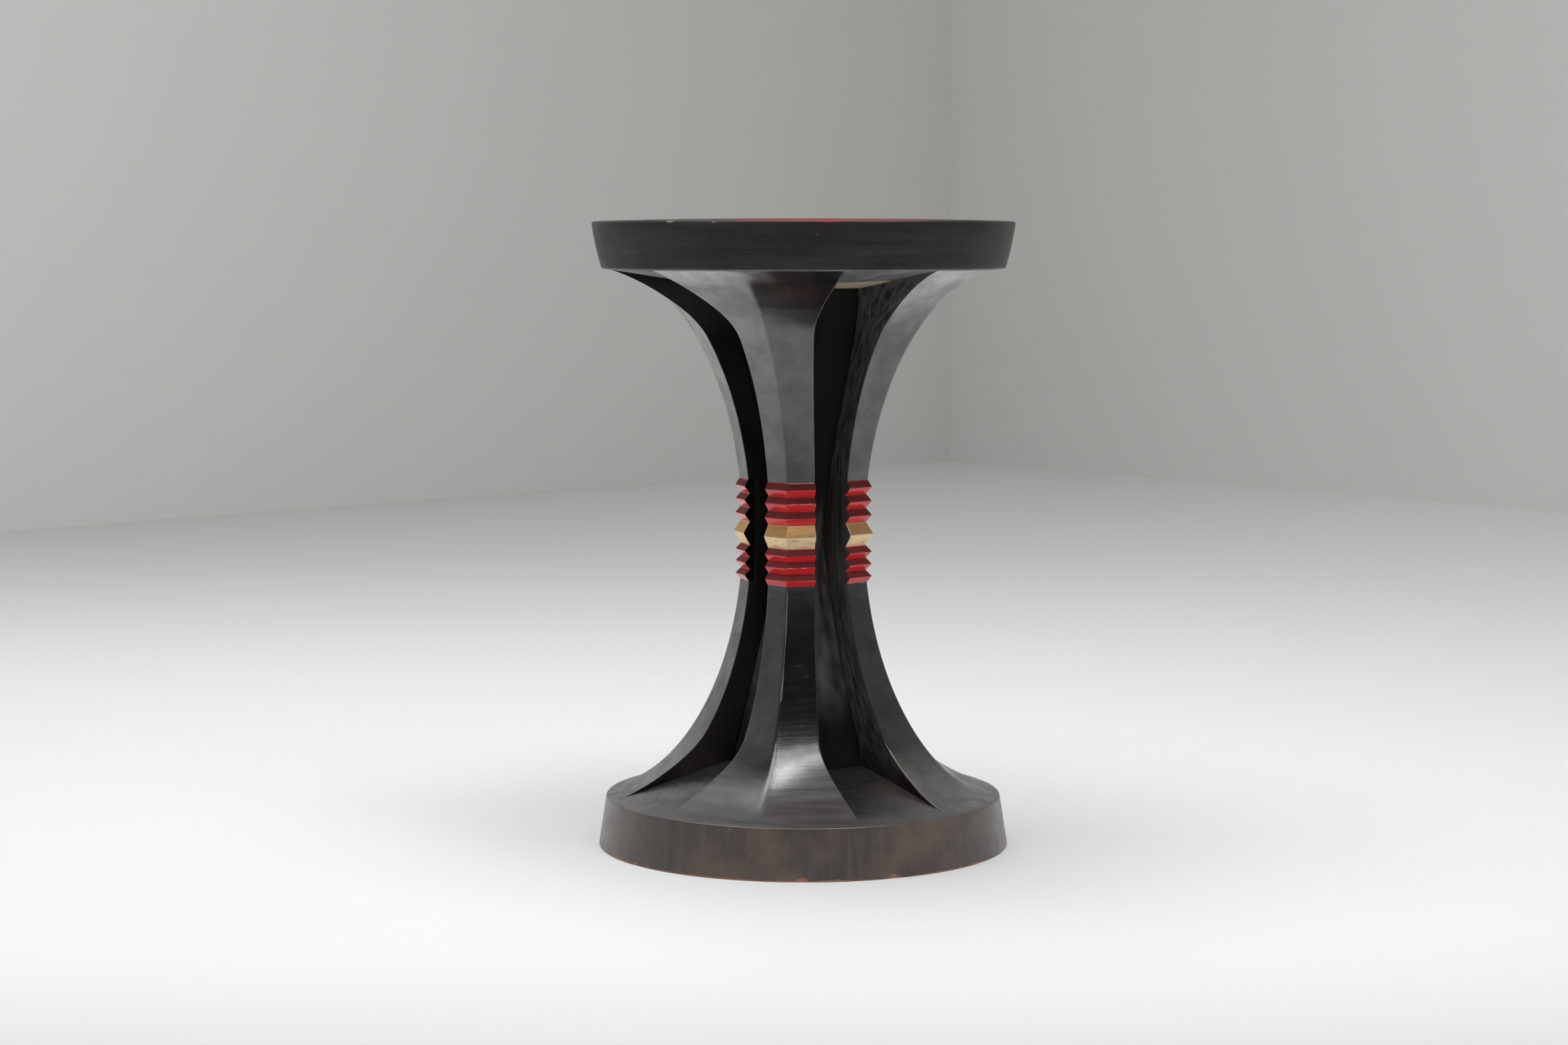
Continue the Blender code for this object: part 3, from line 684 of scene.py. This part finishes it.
def scribed(tree, shape, way, rim, rimZ, boss, bossZ):
    # cuts the rib's end to the cone that it meets, a hair below its face; way is -1 for the base and 1 for the seat
    far = rimZ + ribs["scribeReach"] * way
    farRadius = boss + (rim - boss) / (rimZ - bossZ) * (far - bossZ)
    (low, lowRadius), (high, highRadius) = sorted(((far, farRadius), (bossZ, boss)))
    cone = node(tree, "GeometryNodeMeshCone", {"Vertices": ribs["scribeSides"], "Radius Bottom": lowRadius,
                                               "Radius Top": highRadius, "Depth": high - low})
    moved = node(tree, "GeometryNodeTransform", {"Geometry": output(tree, cone),
                                                 "Translation": (0, 0, low + ribs["scribeSink"] * way)})
    cut = node(tree, "GeometryNodeMeshBoolean", {"Mesh 1": shape, "Mesh 2": output(tree, moved)},
               operation="DIFFERENCE", solver="MANIFOLD")
    return output(tree, cut, "Mesh")


def finishPiece(obj, slot, *nodes):
    obj.data.set_sharp_from_angle(angle=math.radians(ribs["sharpFrom"]))
    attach(obj, "root")
    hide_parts(*nodes)


ribRule = ribTree()
for i, (side, turn) in enumerate(ribs["turns"].items()):
    rib = runTree(f"rib{side.capitalize()}", ribRule, {"turn": math.radians(turn), "seed": 1.7 + 3.1 * i,
                                                       "finish": blackRibs, "wallFinish": blackWalls,
                                                       **ribs["scuffs"].get(side, {})})
    finishPiece(rib, "black_lacquer", f"rib_{side}")
    print(rib.name, len(rib.data.polygons), "faces")


# post: eight-sided, its open faces are the backs of the flutes
postSizes = {"tenonRadius": 0.018, "tenonLength": 0.022, "low": 0.0683, "high": 0.4452, "rows": 120, "perFace": 5,
             "waviness": 0.00018, "wavesPerMetre": 60.0, "hazeLow": 0.095, "hazeHigh": 0.29, "hazeFade": 0.04,
             "hazeScale": 70.0, "hazeStart": 0.36}


def postTree():
    own = ("tenonRadius", "tenonLength", "low", "high", "waviness", "hazeLow", "hazeHigh")
    sizes = {**flare, **{key: postSizes[key] for key in own}, "seed": 0.0}
    rows = postSizes["rows"]
    tree, wire, end = shapeTree("postRule", sizes, "finish")
    skin, row, turn, _, _ = tube(tree, 8 * postSizes["perFace"], rows + 4)
    z = between(wire["low"], wire["high"], ((row - 2) / rows).share())
    tenon = (row < 1.5) + (row > rows + 2.5)
    lengthen = wire["tenonLength"] * ((row > rows + 3.5) - (row < 0.5))
    _, angle, _, post, drift = flareRule(wire, z)
    radius = between(post, wire["tenonRadius"], tenon)
    angle = between(angle, math.radians(22.5), tenon)
    # each quarter has a face behind a rib and a face at the back of a flute
    quarter = (turn / (math.pi / 2)).nearest() * (math.pi / 2)
    off = ((turn - quarter) / (math.pi / 4)).share() - ((quarter - turn) / (math.pi / 4)).share()
    ribHalf = (off.size() * 2).share()
    fluteHalf = (off.size() * 2 - 1).share()
    cornerX, cornerY = radius * angle.cos(), radius * angle.sin()
    openAngle = math.pi / 2 - angle
    x = cornerX + ((cornerX + radius * openAngle.cos()) / 2 - cornerX) * fluteHalf
    y = (cornerY * ribHalf + ((cornerY + radius * openAngle.sin()) / 2 - cornerY) * fluteHalf) * off.sign()
    shape = keep(tree, skin, "wear", 0.0)
    cloud = grain(tree, wire["seed"], postSizes["hazeScale"], combine(tree, turn * 0.10, z * 0.42), detail=3.0)
    hazed = hazeBand(wire, z, postSizes["hazeFade"]) * cloud.over(postSizes["hazeStart"], steep=4)
    shape = keep(tree, shape, "grime", hazed)
    shape = place(tree, shape, x, y, z + lengthen, drift * (1 - tenon) + quarter)
    shape = uneven(tree, shape, wire["seed"], postSizes["wavesPerMetre"], wire["waviness"])
    dress(tree, shape, end, wire["finish"])
    return tree


post = runTree("corePost", postTree(), {"seed": 5.5, "finish": blackPost})
finishPiece(post, "black_lacquer", "core_post")
print(post.name, len(post.data.polygons), "faces")


# teeth: zigzag blocks let into the ribs, painted on their fronts and black at their ends
teeth = {
    "slopeRows": 9, "frontColumns": 20, "edgeColumns": 4, "wallColumns": 6, "backColumns": 2,
    "valley": 0.0512, "back": 0.03565, "ridgeSoft": 0.014, "edgeSoft": 0.0004, "chipDepth": 3.0, "crestSoft": 0.04,
    "waviness": 0.00012, "wavesPerMetre": 140.0, "seam": 0.00002, "endHaze": {"right": 0.7},
    "bluntScale": 150.0, "bluntStart": 0.48, "chipScale": 130.0, "chipStart": 0.57, "wearReach": 0.0006,
    "blocks": {
        "upperRedTeeth": {"node": "upper_red_teeth", "low": 0.2596, "pitch": 0.0112, "count": 3, "depth": 0.0050,
                          "lowExtra": 0.0, "highExtra": 0.0014, "finish": redTeeth, "slot": "red_lacquer"},
        "goldTooth": {"node": "gold_tooth", "low": 0.2409, "pitch": 0.0187, "count": 1, "depth": 0.0062,
                      "lowExtra": 0.0, "highExtra": 0.0, "finish": goldTeeth, "slot": "gold_leaf"},
        "lowerRedTeeth": {"node": "lower_red_teeth", "low": 0.2115, "pitch": 0.0098, "count": 3, "depth": 0.0050,
                          "lowExtra": 0.0009, "highExtra": 0.0, "finish": redTeeth, "slot": "red_lacquer"},
    },
}


def toothTree(count):
    own = ("valley", "back", "ridgeSoft", "edgeSoft", "chipDepth", "crestSoft", "waviness", "seam")
    sizes = {**flare, **{key: teeth[key] for key in own}, "low": 0.0, "pitch": 0.01, "depth": 0.005,
             "lowExtra": 0.0, "highExtra": 0.0, "endHaze": 0.0, "turn": 0.0, "seed": 0.0}
    counts = columnCounts(teeth)
    slope = teeth["slopeRows"]
    rows = 2 * slope * count
    tree, wire, end = shapeTree(f"toothRule{count}", sizes, "finish", "endFinish")
    skin, row, _, around, side = tube(tree, 2 * sum(counts), rows)
    z = wire["low"] + wire["pitch"] * count * (row / rows)
    z = z.most(wire["low"] + wire["seam"]).least(wire["low"] + wire["pitch"] * count - wire["seam"])
    _, angle, toe, _, drift = flareRule(wire, z)
    step = row / (2 * slope)
    phase = step - step.floor()
    ramp = 1 - (2 * phase - 1).size()   # 0 in a valley, 1 on a crest
    spot = combine(tree, around * side * 0.05, z)
    rubbed = grain(tree, wire["seed"], teeth["bluntScale"], spot, detail=3.0).over(teeth["bluntStart"], steep=4)
    blunt = wire["crestSoft"] * (0.5 + 2.6 * rubbed)
    crest = 1 - (((1 - ramp) * (1 - ramp) + blunt * blunt).root())
    lowest, highest = row < slope - 0.5, row > rows - slope + 0.5
    valley = wire["valley"] + wire["lowExtra"] * lowest + wire["highExtra"] * highest
    radius = valley + (wire["valley"] + wire["depth"] - valley) * crest.most(0.0)
    chips = grain(tree, wire["seed"] + 2.2, teeth["chipScale"], spot, detail=3.0).over(teeth["chipStart"], steep=8)
    soft = wire["edgeSoft"] * (1 + wire["chipDepth"] * chips)
    edgeX, edgeY, facet = facetEdge(radius, angle, toe, wire["ridgeSoft"])
    front = frontShare(around, counts)
    frontPoint = facetPoint(radius, angle, toe, front * (1 - soft / facet), wire["ridgeSoft"])
    backPoint = wire["back"] + angle * 0, wire["back"] * (angle.sin() / angle.cos())
    x, y, wall, length = section(frontPoint, (edgeX, edgeY), backPoint, soft, counts, around)
    # wear on crests, edges and valleys
    reach = teeth["wearReach"]
    crestWorn = ((1 - ramp) * wire["pitch"] * 0.5).fade(reach)
    edgeWorn = ((1 - front) * facet + wall * length).fade(reach) * 0.9
    valleyWorn = (ramp * wire["pitch"] * 0.5).fade(reach) * 0.95
    shape = keep(tree, skin, "wear", crestWorn.most(edgeWorn).most(valleyWorn))
    onEnd = behindEdge(around, counts)
    # painted shade: top slopes, past half a tooth, darkened as if the seat kept light off them; the right rib's ends
    # on one side get the walls' grey haze
    shape = keep(tree, shape, "grime", between(phase > 0.5, wire["endHaze"] * (side < 0), onEnd), "FACE")
    shape = keep(tree, shape, "ends", onEnd, "FACE")
    shape = place(tree, shape, x, y * side, z, drift + wire["turn"])
    shape = uneven(tree, shape, wire["seed"] + 4.1, teeth["wavesPerMetre"], wire["waviness"])
    dress(tree, shape, end, wire["finish"], wire["endFinish"], "ends")
    return tree


toothTrees = {count: toothTree(count) for count in (1, 3)}
for name, block in teeth["blocks"].items():
    for i, (side, turn) in enumerate(ribs["turns"].items()):
        values = {key: block[key] for key in ("low", "pitch", "depth", "lowExtra", "highExtra", "finish")}
        values.update(turn=math.radians(turn), seed=2.3 + 5.9 * i + 40 * block["low"], endFinish=blackEndsShaded,
                      endHaze=teeth["endHaze"].get(side, 0.0))
        piece = runTree(name + side.capitalize(), toothTrees[block["count"]], values)
        finishPiece(piece, block["slot"], f"{block['node']}_{side}")
    print(name, len(piece.data.polygons), "faces each")


# turned pieces: a profile of (radius, height, rounding) spun about the axis
turning = {
    "arcPoints": 7, "spacing": 0.0032, "wearReach": 0.0013,
    "waveDepth": 0.00035, "waves": 15.0, "rippleDepth": 0.00008, "ripples": 70.0,
    "calmWithin": 0.03, "calmBelow": 0.01, "lift": 0.5,     # waves die away at the axis and on the floor
    "chipFlat": 0.35, "chipEnd": 1.5, "chipFall": 1.6, "chipRagged": 0.6, "chipGrain": 420.0, "chipWear": 1.6,
    "raggedDepth": 0.012, "raggedGrain": 55.0, "raggedFade": 0.006,
    "scuffLevel": 0.6, "scuffDepth": 1.3, "scuffGrain": 90.0,
    "dustFrom": 0.135, "dustTo": 0.150, "dustInside": 0.25,
    "flatFace": 0.7,            # how far upwards or downwards a face looks that is no rim
}


def held(value):
    return min(1.0, max(0.0, value))


def turnAway(angle, degrees):
    # the shorter way round from a place on the rim
    return (angle - math.radians(degrees) + math.pi) % math.tau - math.pi


def roundedProfile(points):
    # the profile as a close line of (point, wear); a point's fourth number is how worn its arris is
    line = []
    arrises = []
    for i, (r, z, soft, *worn) in enumerate(points):
        here = Vector((r, z))
        if not soft:
            line.append(here)
            continue
        before = (Vector(points[i - 1][:2]) - here).normalized()
        after = (Vector(points[i + 1][:2]) - here).normalized()
        half = before.angle(after) / 2
        start, finish = here + before * soft / math.tan(half), here + after * soft / math.tan(half)
        for k in range(turning["arcPoints"] + 1):
            t = k / turning["arcPoints"]
            line.append(start * (1 - t) ** 2 + here * 2 * t * (1 - t) + finish * t * t)
        arrises.append(((start + 2 * here + finish) / 4, *worn))
    close = [line[0]]
    for a, b in zip(line, line[1:]):
        parts = max(1, math.ceil((b - a).length / turning["spacing"]))
        close += [a.lerp(b, k / parts) for k in range(1, parts + 1)]
    return [(p, max((worn * math.exp(-(p - q).length / turning["wearReach"]) for q, worn in arrises), default=0.0))
            for p in close]


def chipBite(point, angle, at, chip):
    # how far a chip bites here, from nothing to about 1
    turn, radius, height, width, _ = chip
    gap = math.hypot(point.x - radius, point.y - height)
    far = math.hypot(turnAway(angle, turn) * point.x / width, gap / (width * turning["chipFlat"]))
    if far >= turning["chipEnd"]:
        return 0.0
    ragged = 1 + turning["chipRagged"] * noise.noise(at * turning["chipGrain"])
    return math.exp(-far * far * turning["chipFall"]) * ragged


def grimeAt(point, angle, at, bareWithin, scuffs):
    # bare inside a ragged circle, and cloudy where the rim is scuffed
    ragged = point.x + turning["raggedDepth"] * noise.noise(at * turning["raggedGrain"])
    grime = held((bareWithin - ragged) / turning["raggedFade"])
    for turn, width in scuffs:
        away = math.degrees(turnAway(angle, turn))
        cloud = held(turning["scuffLevel"] + turning["scuffDepth"] * noise.noise(at * turning["scuffGrain"]))
        grime = max(grime, math.exp(-(away / width) ** 2) * cloud)
    return grime


def paintAt(point, angle, spill):
    away = math.degrees(turnAway(angle, spill["angle"]))
    gap = math.hypot(point.x - spill["radius"], point.y - spill["height"])
    return math.exp(-gap / spill["reach"]) * math.exp(-(away / spill["width"]) ** 4)


def turnedPiece(name, points, finishes, seed, chips=(), spill=None, bareWithin=0.0, scuffs=()):
    # finishes are for rim, top and underside
    bm = bmesh.new()
    wearLayer, dustLayer, paintLayer, grimeLayer = (bm.verts.layers.float.new(label)
                                                    for label in ("wear", "dust", "paint", "grime"))
    steps = discs["steps"]
    rings = []
    for point, worn in roundedProfile(points):
        ring = []
        for k in range(steps if point.x > 1e-6 else 1):
            angle = math.tau * k / steps
            at = Vector((point.x * math.cos(angle), point.x * math.sin(angle), point.y))
            wave = noise.noise(at * turning["waves"] + Vector((seed, 0, 0))) * turning["waveDepth"]
            wave += noise.noise(at * turning["ripples"] + Vector((0, seed, 0))) * turning["rippleDepth"]
            wear = worn
            for chip in chips:
                bite = chipBite(point, angle, at, chip)
                wave -= chip[-1] * bite
                wear = max(wear, turning["chipWear"] * bite)
            push = wave * min(1.0, point.x / turning["calmWithin"])
            lift = turning["lift"] * push * min(1.0, point.y / turning["calmBelow"])
            vert = bm.verts.new(at + Vector((math.cos(angle) * push, math.sin(angle) * push, lift)))
            vert[wearLayer] = wear
            vert[grimeLayer] = grimeAt(point, angle, at, bareWithin, scuffs)
            if spill:
                vert[paintLayer] = paintAt(point, angle, spill)
            ring.append(vert)
        rings.append(ring)
    for low, high in zip(rings, rings[1:]):
        for k in range(steps):
            j = (k + 1) % steps
            corners = [low[k % len(low)], low[j % len(low)], high[j % len(high)], high[k % len(high)]]
            bm.faces.new(list(dict.fromkeys(corners)))
    bmesh.ops.recalc_face_normals(bm, faces=bm.faces)
    bm.normal_update()
    flat = turning["flatFace"]
    for face in bm.faces:
        face.material_index = 1 if face.normal.z > flat else 2 if face.normal.z < -flat else 0
    for vert in bm.verts:
        outward = held((vert.co.xy.length - turning["dustFrom"]) / (turning["dustTo"] - turning["dustFrom"]))
        vert[dustLayer] = max(0.0, vert.normal.z) * between(turning["dustInside"], 1, outward)
    mesh = bpy.data.meshes.new(name)
    bm.to_mesh(mesh)
    bm.free()
    mesh.shade_smooth()
    for finish in finishes:
        mesh.materials.append(finish)
    obj = bpy.data.objects.new(name, mesh)
    scene.collection.objects.link(obj)
    print(name, len(mesh.polygons), "faces")
    return obj


def crown(r):
    return discs["seatArris"] + discs["seatCrown"] * (1 - (r / discs["seatRadius"]) ** 2)


def crownLine(outer, inner):
    steps = discs["crownSteps"]
    return [(r, crown(r), 0) for r in (outer + (inner - outer) * k / steps for k in range(steps + 1))]


def rimLine():
    # the seat's rim, bulging a little between its two arrises
    for k in range(1, discs["rimSteps"]):
        t = k / discs["rimSteps"]
        bulge = discs["seatBulge"] * 4 * t * (1 - t)
        yield (between(discs["seatUnder"], discs["seatRadius"], t) + bulge,
               between(discs["seatBottom"], discs["seatArris"], t), 0)


recess = discs["panelRadius"] + discs["panelGap"]
panelFloor = crown(discs["panelRadius"]) - discs["panelDepth"]
seat = turnedPiece("seatDisc", [
    (0, discs["seatBoss"], 0), (discs["seatBossRadius"], discs["seatBoss"], 0),
    (discs["seatUnder"], discs["seatBottom"], discs["seatLowerSoft"], 0.55), *rimLine(),
    (discs["seatRadius"], discs["seatArris"], discs["seatSoft"], 0.8),
    *crownLine(discs["seatRadius"], recess)[1:-1], (recess, crown(recess), discs["panelSoft"], 0.6),
    (recess, panelFloor - discs["panelGap"], 0), (0, panelFloor - discs["panelGap"], 0)],
    (blackSeat, blackSeat, greyUnder), 3.0, chips=discs["seatChips"], spill=discs["seatSpill"],
    bareWithin=discs["bareUnder"])
finishPiece(seat, "black_lacquer", "seat_disc")
panel = turnedPiece("seatPanel", [
    (0, panelFloor, 0), (discs["panelRadius"], panelFloor, 0),
    (discs["panelRadius"], crown(discs["panelRadius"]), discs["panelSoft"], 0.6),
    *crownLine(discs["panelRadius"], 0)[1:]], (redSeat, redSeat, redSeat), 8.0)
finishPiece(panel, "red_lacquer", "seat_panel")
base = turnedPiece("basePlinth", [
    (0, 0, 0), (discs["baseRadius"], 0, discs["baseLowerSoft"], 1.15),
    (discs["baseTop"], discs["baseRim"], discs["baseSoft"], 0.3), (discs["baseBossRadius"], discs["baseBoss"], 0),
    (0, discs["baseBoss"], 0)], (blackBase, blackBaseTop, bareWood), 5.0, chips=discs["baseChips"],
    scuffs=discs["baseScuffs"])
finishPiece(base, "black_lacquer", "base_plinth")

for name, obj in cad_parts.items():
    if "dowel" in name:
        obj.material_slots[0].material = bareWood
print("turned pieces made, dowels finished")


# room: a pale floor and two plain walls that meet behind the stool
# the floor's near and far colours are painted shade: darker towards the camera and far from the stool
room = {"floorColour": (0.93, 0.935, 0.945), "nearColour": (0.26, 0.26, 0.26), "fadeFrom": 0.30, "fadeTo": 1.5,
        "farColour": (0.70, 0.703, 0.71), "farFrom": -0.7, "farTo": -2.6, "farMiddle": 0.5, "farLean": -0.45,
        "wallColour": (0.80, 0.797, 0.775), "corner": (0.32, -4.35),
        "leftWall": (-0.699, 0.715), "rightWall": (0.627, 0.779), "wallLength": 9.0, "wallHeight": 4.5,
        "floorHalf": 12.0}


def plainMaterial(name, colour, rough):
    mat = bpy.data.materials.new(name)
    mat.use_nodes = True
    shader = mat.node_tree.nodes["Principled BSDF"]
    shader.inputs["Base Color"].default_value = (*colour, 1)
    shader.inputs["Roughness"].default_value = rough
    return mat


def stagePlane(name, corners, mat):
    mesh = bpy.data.meshes.new(name)
    mesh.from_pydata(corners, [], [(0, 1, 2, 3)])
    mesh.materials.append(mat)
    obj = bpy.data.objects.new(name, mesh)
    scene.collection.objects.link(obj)


def floorMaterial():
    # pale round the stool, with painted shade: darker on the camera's side, so that the fronts of seat and base
    # reflect it dark, and darker far off, most to the far left, where the overhead light falls away
    mat = plainMaterial("paleFloor", room["floorColour"], 0.6)
    tree = mat.node_tree
    ways = [node(tree, "ShaderNodeVectorMath", {0: objectPlace(tree), 1: way}, operation="DOT_PRODUCT")
            for way in (towardsCamera(0, 1, 0), towardsCamera(1, 0, 0))]
    near, right = (output(tree, way, "Value") for way in ways)
    lean = (room["farMiddle"] + room["farLean"] * right).share()
    far = near.rising(room["farFrom"], room["farTo"]) * lean
    colour = colourMix(tree, far, room["floorColour"], room["farColour"])
    colour = colourMix(tree, near.rising(room["fadeFrom"], room["fadeTo"]), colour, room["nearColour"])
    plug(tree, colour, tree.nodes["Principled BSDF"].inputs["Base Color"])
    return mat


half = room["floorHalf"]
stagePlane("floor", [(-half, -half, 0), (half, -half, 0), (half, half, 0), (-half, half, 0)], floorMaterial())
wallPaint = plainMaterial("greyWall", room["wallColour"], 0.8)
cornerX, cornerNear = room["corner"]
for name, (dx, dnear) in (("wallLeft", room["leftWall"]), ("wallRight", room["rightWall"])):
    farX, farNear = cornerX + dx * room["wallLength"], cornerNear + dnear * room["wallLength"]
    stagePlane(name, [towardsCamera(cornerX, cornerNear, 0), towardsCamera(farX, farNear, 0),
                      towardsCamera(farX, farNear, room["wallHeight"]),
                      towardsCamera(cornerX, cornerNear, room["wallHeight"])], wallPaint)

# light: a large softbox overhead, a narrow one to the front right, and a room that is pale low down and dark above
lights = {
    "softboxes": {
        "overhead": {"place": (-0.32, 0.28, 2.8), "aim": (-0.18, 0.12, 0.0), "size": (3.0, 2.8), "watts": 89.0},
        "key": {"place": (0.78, 0.80, 2.35), "aim": (0.0, 0.0, 0.1), "size": (0.42, 1.5), "watts": 10.3},
    },
    "horizon": (0.58, 0.58, 0.57), "ceiling": (0.02, 0.02, 0.02), "fadeFrom": -0.02, "fadeTo": 0.11,
}


def softLight(name, spec):
    data = bpy.data.lights.new(name, "AREA")
    data.shape = "RECTANGLE"
    data.size, data.size_y = spec["size"]
    data.energy = spec["watts"]
    lamp = bpy.data.objects.new(name, data)
    lamp.location = towardsCamera(*spec["place"])
    lamp.rotation_euler = (towardsCamera(*spec["aim"]) - lamp.location).to_track_quat("-Z", "Y").to_euler()
    scene.collection.objects.link(lamp)


for name, spec in lights["softboxes"].items():
    softLight(name, spec)
world = bpy.data.worlds.new("room")
world.use_nodes = True
sky = world.node_tree
upward = separate(sky, output(sky, node(sky, "ShaderNodeTexCoord"), "Generated"))[2]
climb = upward.rising(lights["fadeFrom"], lights["fadeTo"])
plug(sky, colourMix(sky, climb, lights["horizon"], lights["ceiling"]), sky.nodes["Background"].inputs["Color"])
scene.world = world
print("room and light made")
